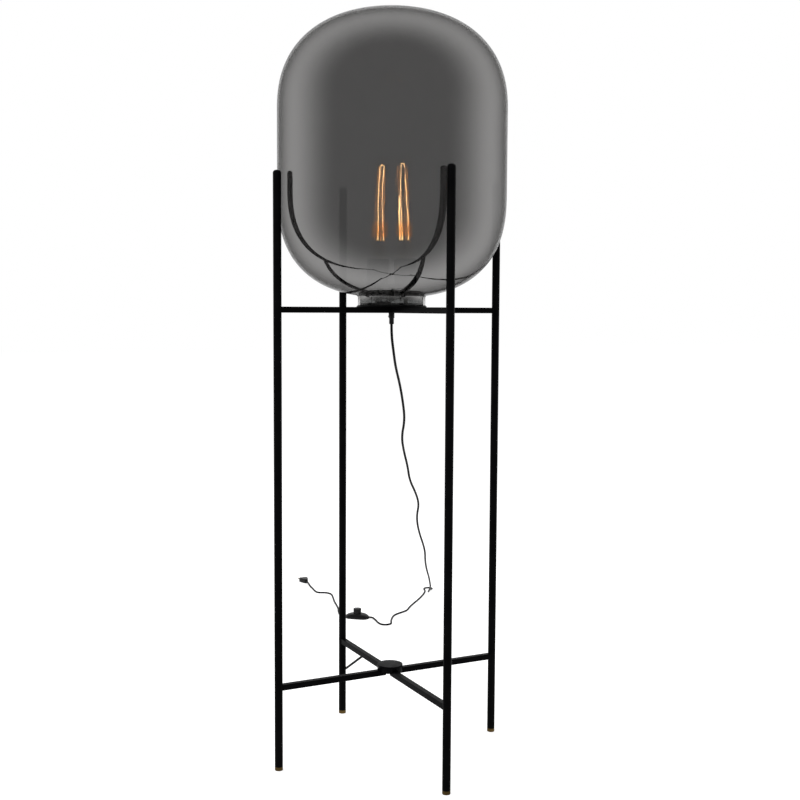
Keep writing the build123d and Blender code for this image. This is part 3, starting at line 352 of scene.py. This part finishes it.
def makeMirrorFilm():
    # half-mirror film on the outside of the globe: an even mirror at every angle, fading out down the neck, with a
    # painted dark line where the wall is seen edge on, a painted shade that also dims the mirror there
    material, tree = newMaterial("blown glass, outer mirror film")
    place = addNode(tree, "TexCoord").outputs["Object"]
    height = addNode(tree, "SeparateXYZ", {0: place}).outputs["Z"]
    mirror = addNode(tree, "MapRange", {"Value": height, "From Min": film["from"], "From Max": film["to"],
                                        "To Min": film["neckMirror"], "To Max": film["mirror"]},
                     interpolation_type="SMOOTHSTEP").outputs["Result"]
    facing = addNode(tree, "LayerWeight", {"Blend": 0.5}).outputs["Facing"]
    # painted shade: the colour darkens where the wall is seen edge on
    edge = addNode(tree, "MapRange", {"Value": facing, "From Min": film["rimFrom"],
                                      "From Max": film["rimTo"]}).outputs["Result"]
    tint = addNode(tree, "Mix", {"Factor": edge, 6: linear(film["tint"]), 7: linear(film["rim"])},
                   data_type="RGBA").outputs[2]
    close(tree, addNode(tree, "BsdfPrincipled", {"Base Color": tint, "Metallic": mirror, "Roughness": 0.0,
                                                 "IOR": film["index"], "Transmission Weight": 1.0,
                                                 "Specular Tint": linear(film["glance"])}).outputs[0])
    return material


def makeSmokeGlass():
    # blown soda glass, smoke grey right through, a little thinner in colour at the neck
    material, tree = newMaterial("blown glass, smoke grey")
    place = addNode(tree, "TexCoord").outputs["Object"]
    height = addNode(tree, "SeparateXYZ", {0: place}).outputs["Z"]
    share = addNode(tree, "MapRange", {"Value": height, "From Min": film["from"], "From Max": film["to"]},
                    interpolation_type="SMOOTHSTEP").outputs["Result"]
    tint = addNode(tree, "Mix", {"Factor": share, 6: linear(film["neckSmoke"]), 7: linear(film["smoke"])},
                   data_type="RGBA").outputs[2]
    close(tree, addNode(tree, "BsdfPrincipled", {"Base Color": tint, "Roughness": 0.0, "IOR": film["index"],
                                                 "Transmission Weight": 1.0}).outputs[0])
    return material


amber = {
    "clear": "FAF7F1", "tint": "E9C48C", "glow": "B47A12", "strength": 0.3,  # clear glass, then the tint and the light of the painted glow band
    "bottom": 0.988, "bottomEdge": 0.00075, "top": 1.012, "topEdge": 0.009,  # metres: heights, and half their blur
    "index": 1.25,  # lower than glass, as the tubes' edges hardly show through the globe
}


def makeBulbGlass():
    # drawn soda glass, clear, with a painted amber glow round the feet of the threads: a tint and a faint emission
    # that stand in for the threads' light on the glass
    material, tree = newMaterial("soda glass, bulb tube")
    place = addNode(tree, "TexCoord").outputs["Object"]
    height = addNode(tree, "SeparateXYZ", {0: place}).outputs["Z"]
    above = addNode(tree, "MapRange", {"Value": height, "From Min": amber["bottom"] - amber["bottomEdge"],
                                       "From Max": amber["bottom"] + amber["bottomEdge"]}).outputs["Result"]
    below = addNode(tree, "MapRange", {"Value": height, "From Min": amber["top"] - amber["topEdge"],
                                       "From Max": amber["top"] + amber["topEdge"], "To Min": 1.0, "To Max": 0.0},
                    interpolation_type="SMOOTHSTEP").outputs["Result"]
    # painted glow band: 1 between the two heights, where the glass takes the amber tint and glows
    paintedGlowBand = addNode(tree, "Math", {0: above, 1: below}, operation="MULTIPLY").outputs[0]
    tint = addNode(tree, "Mix", {"Factor": paintedGlowBand, 6: linear(amber["clear"]), 7: linear(amber["tint"])},
                   data_type="RGBA").outputs[2]
    glow = addNode(tree, "Math", {0: paintedGlowBand, 1: amber["strength"]}, operation="MULTIPLY").outputs[0]
    close(tree, addNode(tree, "BsdfPrincipled", {"Base Color": tint, "Roughness": 0.0, "IOR": amber["index"],
                                                 "Transmission Weight": 1.0, "Emission Color": linear(amber["glow"]),
                                                 "Emission Strength": glow}).outputs[0])
    return material


threadLight = {
    "bright": ("FFCE90", 14.0, 44.0), "faint": ("F0A050", 2.0, 7.0),  # colour, strength where coolest and hottest
    "wander": 7.0,  # millimetres over which it runs hotter and cooler
    "coolest": 0.35, "hottest": 0.65,  # the noise pattern's values there
}


def makeFilament(kind):
    # carbonised thread, glowing: orange gold, hotter and cooler along its length
    colour, cool, hot = threadLight[kind]
    material, tree = newMaterial("carbon thread, " + kind)
    place = addNode(tree, "TexCoord").outputs["Object"]
    wander = addNode(tree, "TexNoise", {"Vector": place, "Scale": 1 / (threadLight["wander"] * mm),
                                        "Detail": fineDetail}).outputs["Fac"]
    span = {"From Min": threadLight["coolest"], "From Max": threadLight["hottest"], "To Min": cool, "To Max": hot}
    heat = addNode(tree, "MapRange", {"Value": wander, **span}).outputs["Result"]
    close(tree, addNode(tree, "Emission", {"Color": linear(colour), "Strength": heat}).outputs[0])
    return material


mirrorFilm = makeMirrorFilm()
smokeGlass = makeSmokeGlass()
bulbGlass = makeBulbGlass()
threadGlow = {kind: makeFilament(kind) for kind in ("bright", "faint")}
print("finishes ready")

# free cords
flex = {"radius": 0.0025, "exitHeight": 0.8245, "steps": 10, "roundness": 4}  # metres; then steps and sides
cordHangRoute = [  # millimetres: points that pull the curve, from the grip to the switch
    (0, 0, 824.5), (0, 0, 804), (10.2, 12.1, 773.6), (34.2, 51, 740.5), (61.6, 87.3, 704.8), (85.3, 119.8, 664.7),
    (106.5, 153.2, 625.1), (118.1, 191, 585.8), (141, 225.4, 550.2), (167.3, 259, 513.2), (190, 293.9, 476.2),
    (221.9, 325.7, 441.5), (248.9, 360.6, 408.3), (264.5, 402, 373.9), (287.3, 441.1, 340.7), (313.7, 478.2, 308.3),
    (342, 515.9, 277.7), (368.5, 556, 247.8), (390.7, 597.6, 218.5), (415.5, 640, 191.4), (441.4, 681.3, 165.4),
    (468.7, 723.9, 140.7), (494.1, 766.9, 117.7), (520.2, 812, 95.3), (545.1, 857, 74.4), (568.1, 903.8, 54.7),
    (590.4, 952.7, 36.8), (614.9, 1000.9, 20.9), (641.5, 1046.3, 14), (662.7, 1080.2, 6), (682.6, 1098.7, 2.6),
    (677.1, 1114.6, 2.5), (657.4, 1114.2, 2.5), (647.7, 1080, 2.5), (617.7, 1040.4, 2.5), (586.7, 1005.1, 2.5),
    (553.9, 970.9, 2.5), (520.7, 936.5, 2.5), (494.4, 900.9, 2.5), (466.9, 888.7, 2.5), (440.6, 874.4, 2.5),
    (422, 850.1, 2.5), (405.3, 822.7, 2.5), (394.4, 797.3, 2.5), (379, 792.9, 2.5), (366.7, 801.3, 2.5),
    (365.8, 821.1, 2.5), (370.4, 842.7, 2.5), (371.2, 853, 3.6), (372.2, 871.1, 4.5), (365.2, 877, 4.5),
]
cordTailRoute = [  # from the switch to the plug
    (312.8, 921, 4.5), (304.8, 927.7, 4.5), (307.4, 951.4, 2.5), (316.5, 978.8, 2.5), (327.5, 1003, 2.5),
    (338.5, 1041.8, 2.5), (348.4, 1081.4, 2.5), (363.9, 1126.6, 2.5), (376.3, 1166.1, 2.5), (369.6, 1189.8, 2.5),
    (344.7, 1200.4, 2.5), (346.3, 1228.9, 2.5), (353.1, 1262.5, 2.5), (352.5, 1273.3, 3.2), (362, 1321, 6.5),
    (362.4, 1332.4, 6.5),
]


def makeCord(name, route, node):
    # round cord along a smooth curve of second degree that starts and ends on the route's ends
    curve = bpy.data.curves.new(name, "CURVE")
    curve.dimensions = "3D"
    spline = curve.splines.new("NURBS")
    spline.points.add(len(route) - 1)
    spots = np.ones((len(route), 4))
    spots[:, :3] = np.array(route) * mm
    spline.points.foreach_set("co", spots.ravel())
    spline.order_u = 3
    spline.use_endpoint_u = True
    spline.resolution_u = flex["steps"]
    curve.bevel_depth = flex["radius"]
    curve.bevel_resolution = flex["roundness"]
    curve.use_fill_caps = True
    curve.materials.append(paint["sheath"])
    cord = bpy.data.objects.new(name, curve)
    bpy.context.scene.collection.objects.link(cord)
    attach(cord, "root")
    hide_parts(node)
    return cord


cordHang = makeCord("cord_grip_to_switch", cordHangRoute, "cord_hang")
cordTail = makeCord("cord_switch_to_plug", cordTailRoute, "cord_tail")
print("cords ready")

# frame
legs = {
    "ring": 228.4, "radius": 7.5, "wall": 1.5, "top": 1099.0, "dome": 5.5, "domeSteps": 10,
    "foot": 7.0, "footEdge": 0.8, "footLip": 0.25, "spigot": 5.9, "spigotTop": 21.0,
}
legSides = {"front": -90, "right": 0, "back": 90, "left": 180}


def legSeat(angle):
    # on the floor, under a leg
    return Matrix.Translation((legs["ring"] * mm * cos(radians(angle)), legs["ring"] * mm * sin(radians(angle)), 0))


legProfile = outlineOf([(0, legs["top"]), (legs["radius"], legs["top"], legs["dome"]), (legs["radius"], legs["foot"]),
                        (legs["radius"] - legs["wall"], legs["foot"]),
                        (legs["radius"] - legs["wall"], legs["top"] - legs["wall"], legs["dome"] - legs["wall"]),
                        (0, legs["top"] - legs["wall"])], legs["domeSteps"])
footProfile = outlineOf([(0, 0), (legs["radius"], 0, legs["footEdge"]),
                         (legs["radius"], legs["foot"], legs["footLip"]), (legs["spigot"], legs["foot"]),
                         (legs["spigot"], legs["spigotTop"], legs["footEdge"]), (0, legs["spigotTop"])])
for side, angle in legSides.items():
    surface(f"leg_{side}_tube", [turned(legProfile, legSeat(angle))], "root", paint["blackPaint"],
            replaces=[f"leg_{side}"])
surface("leg_glides", [turned(footProfile, legSeat(angle)) for angle in legSides.values()], "root", paint["brass"],
        replaces=["feet"])

for side in legSides:
    for level in ("upper", "lower"):
        smoothCopy(f"{level}_arm_{side}", paint["blackPaint"])
smoothCopy("lower_hub", paint["blackPaint"])
smoothCopy("back_brace", paint["blackPaint"])
smoothCopy("top_plate", paint["blackPaint"])
smoothCopy("neck_gasket", paint["rubber"])
print("frame ready")

# globe
globe = {
    "radius": 214.0, "wall": 3.5, "bottom": 860.0, "centre": 1060.0,  # centre: a height well inside the globe
    "neck": 63.5, "neckLength": 14.0, "neckBend": 4.0, "bendSteps": 10, "rim": 0.9,
    "lower": 194.4, "lowerPower": 2.55, "barrel": 148.6, "upper": 183.0, "upperPower": 2.35,
    "steps": 64, "sides": 256,
}


def dome(radius, height, power, level, endRadius=0.0):
    # superellipse: radius times cosine to the 2/power, level plus height times sine to the 2/power
    last = np.arccos((endRadius / radius) ** (power / 2))
    turn = np.linspace(0, last, globe["steps"])[:, None]
    return np.hstack([radius * np.cos(turn) ** (2 / power), level + height * np.sin(turn) ** (2 / power)])


def globeSide(inset):
    # upwards: straight neck, an arc into the lower dome, the lower dome, a straight barrel and the upper dome
    radius, neck = globe["radius"] - inset, globe["neck"] - inset
    middle = globe["bottom"] + globe["neckLength"] + globe["lower"]
    lower = dome(radius, inset - globe["lower"], globe["lowerPower"], middle, neck)[::-1]
    upper = dome(radius, globe["upper"] - inset, globe["upperPower"], middle + globe["barrel"])
    upper[-1, 0] = 0
    away = lower[:, 0] > neck + 2 * (globe["neckBend"] + inset)
    bend = outlineOf([(neck, globe["bottom"]), (*lower[0], globe["neckBend"] + inset), tuple(lower[away][0])],
                     globe["bendSteps"])
    return np.vstack([bend[:-1], lower[away], upper])


def makeGlobe():
    # the inner side down, round the rim and the outer side up, carried round; film outside, smoke grey inside
    outside, inside = globeSide(0.0), globeSide(globe["wall"])
    rim = outlineOf([tuple(inside[1]), (inside[0, 0], globe["bottom"], globe["rim"]),
                     (outside[0, 0], globe["bottom"], globe["rim"]), tuple(outside[1])])
    profile = np.vstack([inside[:0:-1], rim[1:-1], outside[1:]])
    shell = surface("globe_shell", [turned(profile, sides=globe["sides"])], "globe", mirrorFilm,
                    replaces=["globe_glass"], sharp=shading["blown"])
    mesh = shell.data
    mesh.materials.append(smokeGlass)
    middles, normals = np.zeros((2, len(mesh.polygons), 3))
    mesh.polygons.foreach_get("center", middles.ravel())
    mesh.polygons.foreach_get("normal", normals.ravel())
    inward = ((middles - (0, 0, globe["centre"] * mm)) * normals).sum(1) < 0  # faces that look into the globe
    mesh.polygons.foreach_set("material_index", inward.astype(np.int32))


makeGlobe()
print("globe ready")

# lamp cluster
cluster = {
    "turn": -45.0, "lean": 2.0, "stripBottom": 894.0, "strip": 2.0,
    "flat": 14.0, "offset": 28.0, "contact": 13.4,  # the strip's flat, a bulb's way out, its contact over the strip
}


def bulbSeat(end):
    # frame at a bulb's contact: Z up its own axis, X outwards along its wing of the strip
    lean, turn = radians(cluster["lean"]), radians(cluster["turn"])
    outward = Vector((cos(turn), sin(turn), 0)) * end
    run = outward * cos(lean) + Vector((0, 0, sin(lean)))
    rise = Vector((0, 0, cos(lean))) - outward * sin(lean)
    spot = outward * cluster["flat"] / 2 + Vector((0, 0, cluster["stripBottom"]))
    spot += run * (cluster["offset"] - cluster["flat"] / 2) + rise * (cluster["strip"] + cluster["contact"])
    return Matrix.Translation(spot * mm) @ Matrix((run, rise.cross(run), rise)).transposed().to_4x4()


for node in ("cluster_bridge", "bridge_screws", "cluster_spacer", "holder_strip", "nipples", "nipple_nuts"):
    smoothCopy(node, paint["zinc"])
smoothCopy("terminal_block", paint["mouldedInsulator"])
smoothCopy("inner_wires", paint["sheath"])
smoothCopy("cord_in_grip", paint["sheath"])
for number in (1, 2):
    smoothCopy(f"holder_{number}_housing", paint["phenolic"])
smoothCopy("holder_cores", paint["mouldedInsulator"])
smoothCopy("holder_sockets", paint["nickel"])
smoothCopy("holder_contacts", paint["nickel"])
print("lamp cluster ready")

# bulbs
bulb = {
    "radius": 15.0, "length": 225.0, "wall": 0.9, "waist": 11.9, "foot": 14.0, "waistTop": 28.0, "shoulder": 36.0,
    "shoulderSteps": 14, "endSteps": 20, "sides": 96,
}


def bulbSide(inset):
    # straight waist, a shoulder that swells by a smooth step, a straight tube and a round end
    body, waist = bulb["radius"] - inset, bulb["waist"] - inset
    share = np.linspace(0, 1, bulb["shoulderSteps"])[:, None]
    swell = waist + (body - waist) * share ** 2 * (3 - 2 * share)
    shoulder = np.hstack([swell, bulb["waistTop"] + (bulb["shoulder"] - bulb["waistTop"]) * share])
    turn = np.linspace(0, np.pi / 2, bulb["endSteps"])[:, None]
    end = np.hstack([body * np.cos(turn), bulb["length"] - bulb["radius"] + body * np.sin(turn)])
    end[-1, 0] = 0
    return np.vstack([[(waist, bulb["foot"])], shoulder, end])


threads = {
    "radius": 0.3, "foot": 71.0,  # thread, and its lower end above the bulb's contact
    "sides": 8, "sidePoints": 40, "crownPoints": 12,
    "across": (0.3, 0.9, 0.31),  # a direction that no thread runs in
    "sag": 0.45, "sagTurns": (7.0, 9.5), "kink": 0.3, "kinkTurns": (23.0, 17.0), "kinkPhase": 2.3,  # the two waves
    "right": {1: 198.5, 2: 18.5},  # direction of the picture's right in each bulb's own frame
    # each hairpin: foot, waist and shoulder of one side, then of the other, as places to the picture's right and away
    # from it, then its top and its glow
    1: [((-2.2, -7.5), (-4.2, -4.5), (-3.2, -1.5), (8.0, -4.0), (3.0, -3.5), (3.9, -1.0), 208.0, "bright"),
        ((-8.8, -2.5), (-9.2, -1.0), (-7.4, 0.5), (3.2, -8.5), (0.4, -8.0), (-1.0, -5.0), 204.0, "faint"),
        ((-5.5, 7.0), (-6.0, 6.4), (-5.0, 5.0), (2.2, 8.8), (1.6, 7.6), (1.0, 6.4), 205.0, "faint"),
        ((9.2, 2.0), (6.6, 1.6), (5.6, 1.6), (7.4, 6.0), (5.6, 5.4), (4.6, 4.4), 202.0, "faint")],
    2: [((-3.4, -8.4), (-4.6, -6.0), (-2.6, -3.0), (7.2, -5.0), (6.4, -4.0), (3.6, -1.6), 210.0, "bright"),
        ((-9.0, -3.5), (-8.6, -3.4), (-8.2, -3.0), (-6.4, -6.8), (-7.2, -5.0), (-7.6, -3.6), 152.0, "bright"),
        ((9.9, 1.0), (9.6, 0.4), (8.4, 1.2), (2.6, -9.4), (2.2, -8.0), (4.4, -5.2), 204.0, "faint"),
        ((-7.0, 6.4), (-8.0, 5.0), (-10.0, 2.4), (-1.2, 9.0), (-3.2, 8.0), (-6.8, 5.4), 206.0, "faint"),
        ((5.4, 8.0), (5.0, 7.4), (4.2, 5.4), (8.6, 4.6), (8.0, 4.0), (6.2, 3.4), 203.0, "faint")],
}


def tubeAlong(path, radius):
    # a circle carried along the path, square to it, its first axis held square to a fixed direction
    run = np.gradient(path, axis=0)
    run /= np.linalg.norm(run, axis=1, keepdims=True)
    across = np.cross(run, threads["across"])
    across /= np.linalg.norm(across, axis=1, keepdims=True)
    other = np.cross(run, across)
    angle = np.linspace(0, 2 * np.pi, threads["sides"], endpoint=False)[:, None]
    ring = path[:, None] + radius * (np.cos(angle) * across[:, None] + np.sin(angle) * other[:, None])
    return np.vstack([ring[:1] * 0 + path[0], ring, ring[:1] * 0 + path[-1]])


def hairpin(seat, pin, right, phase):
    # up one side, over a tight round top and down the other; each side is a parabola through foot, waist and shoulder
    # with two small waves on it, as the thread sags and kinks
    rise = np.linspace(0, 1, threads["sidePoints"])[:, None]
    sway = threads["sag"] * np.sin(rise * threads["sagTurns"] + phase)
    sway += threads["kink"] * np.sin(rise * threads["kinkTurns"] + threads["kinkPhase"] * phase)
    sides = []
    for foot, waist, shoulder in (pin[:3], pin[3:6]):
        foot, waist, shoulder = (np.array(place) for place in (foot, waist, shoulder))
        across = foot * (1 - rise) * (1 - 2 * rise) + waist * 4 * rise * (1 - rise) + shoulder * rise * (2 * rise - 1)
        sides.append(np.hstack([across + sway * 4 * rise * (1 - rise),
                                threads["foot"] + (pin[6] - threads["foot"]) * rise]))
    middle, half = (sides[0][-1] + sides[1][-1]) / 2, (sides[0][-1] - sides[1][-1]) / 2
    arc = np.linspace(0, np.pi, threads["crownPoints"])[1:-1, None]
    crown = middle + half * np.cos(arc) + np.array((0, 0, np.linalg.norm(half))) * np.sin(arc)
    path = np.vstack([sides[0], crown, sides[1][::-1]]) * mm
    place = np.array(seat @ Matrix.Rotation(radians(right), 4, "Z"))
    return path @ place[:3, :3].T + place[:3, 3]


for number, end in ((1, -1), (2, 1)):
    body = f"bulb_{number}"
    seat = bulbSeat(end)
    profile = np.vstack([bulbSide(bulb["wall"])[::-1], bulbSide(0.0)])
    surface(f"{body}_tube", [turned(profile, seat, bulb["sides"])], body, bulbGlass, replaces=[f"{body}_glass"],
            sharp=shading["blown"])
    smoothCopy(f"{body}_cap", paint["nickel"], body)
    smoothCopy(f"{body}_contact", paint["nickel"], body)
    smoothCopy(f"{body}_insulator", paint["mouldedInsulator"], body)
    smoothCopy(f"{body}_mount", bulbGlass, body)
    for kind, material in threadGlow.items():
        wires = [tubeAlong(hairpin(seat, pin, threads["right"][number], phase), threads["radius"] * mm)
                 for phase, pin in enumerate(threads[number]) if pin[7] == kind]
        surface(f"{body}_threads_{kind}", wires, body, material, replaces=[f"{body}_filament"],
                sharp=shading["thread"])
    smoothCopy(f"{body}_supports", paint["wireSteel"], body)
print("bulbs ready")

# cord grip, foot switch and plug
smoothCopy("cord_grip", paint["mouldedBlack"])
smoothCopy("grip_screw", paint["zinc"])
footSwitch = {
    "spot": (339.0, 899.0), "turn": -40.0, "length": 67.0, "width": 36.0, "rim": 3.2, "top": 13.6, "wall": 2.0,
    "footEdge": 0.4, "floor": 1.5, "gap": 0.1,  # chamfer below the rim; floor plate, and the gap round it
    "hole": 11.2, "button": 10.8, "buttonFoot": 13.2, "buttonTop": 27.0, "edge": 0.9, "crown": 0.3,
    "sides": 96, "rings": 14, "endsTurn": 3, "sharp": 50,  # endsTurn: how soon a straight side gives way to an end
}
switchSpot = Matrix.Translation((footSwitch["spot"][0] * mm, footSwitch["spot"][1] * mm, 0))


def switchRing(inset, share, level):
    # between the round hole, at share 0, and the long outline, at share 1: two half circles and two straight sides
    angle = np.linspace(0, 2 * np.pi, footSwitch["sides"], endpoint=False)
    ring = np.stack([np.cos(angle), np.sin(angle)], -1)
    end = footSwitch["width"] / 2 - inset
    shift = np.clip(ring[:, :1] * footSwitch["endsTurn"], -1, 1)
    straight = (footSwitch["length"] - footSwitch["width"]) / 2 * shift * (1, 0)
    outline = ring * end + straight
    flat = (1 - share) * ring * footSwitch["hole"] + share * outline
    return np.hstack([flat, np.full((len(flat), 1), level)])


def switchDome(inset):
    # from the hole outwards, the height falls as a quarter of an ellipse, down to the rim
    share = np.sin(np.linspace(0, np.pi / 2, footSwitch["rings"]))
    fall = footSwitch["top"] - footSwitch["rim"] - inset
    return [switchRing(inset, value, footSwitch["rim"] + fall * np.sqrt(1 - value ** 2)) for value in share]


def placeSwitch(rings):
    # rings in millimetres, turned and set down where the switch lies
    place = np.array(switchSpot @ Matrix.Rotation(radians(footSwitch["turn"]), 4, "Z"))
    return np.stack(rings) * mm @ place[:3, :3].T + place[:3, 3]


def makeSwitch():
    # a hollow dome, a flat plate in its foot, and a round button with an edge that runs up through the hole
    wall, chamfer, plate = (footSwitch[key] for key in ("wall", "footEdge", "floor"))
    outside, inside = switchDome(0.0), switchDome(wall)
    foot = [switchRing(0.0, 1, chamfer), switchRing(chamfer, 1, 0.0), switchRing(wall, 1, 0.0)]
    cover = surface("switch_cover_dome", [placeSwitch(outside + foot + inside[::-1])], "root", paint["mouldedBlack"],
                    replaces=["switch_cover", "switch_base"], closeRows=True,
                    sharp=footSwitch["sharp"])
    middle, inset = np.zeros((footSwitch["sides"], 3)), wall + footSwitch["gap"]
    lid = [middle, switchRing(inset, 1, 0.0), switchRing(inset, 1, plate), middle + (0, 0, plate)]
    floor = surface("switch_floor_plate", [placeSwitch(lid)], "root", paint["mouldedBlack"], replaces=["switch_base"])
    radius, foot, top = (footSwitch[key] for key in ("button", "buttonFoot", "buttonTop"))
    profile = outlineOf([(0, foot), (radius, foot), (radius, top, footSwitch["edge"]),
                         (0, top + footSwitch["crown"])])
    button = surface("switch_button_cap", [turned(profile, switchSpot)], "switch_button", paint["mouldedBlack"],
                     replaces=["switch_button"])
    return [cover, floor, button]


switchPieces = makeSwitch() + [
    smoothCopy("switch_bushes", paint["mouldedBlack"]),
    smoothCopy("switch_screws", paint["zinc"]),
    smoothCopy("switch_module", paint["mouldedInsulator"]),
    smoothCopy("switch_cord_ends", paint["sheath"]),
]
plugPieces = [
    smoothCopy("plug_body", paint["mouldedBlack"]),
    smoothCopy("plug_pins", paint["nickel"]),
]
print("cord set ready")
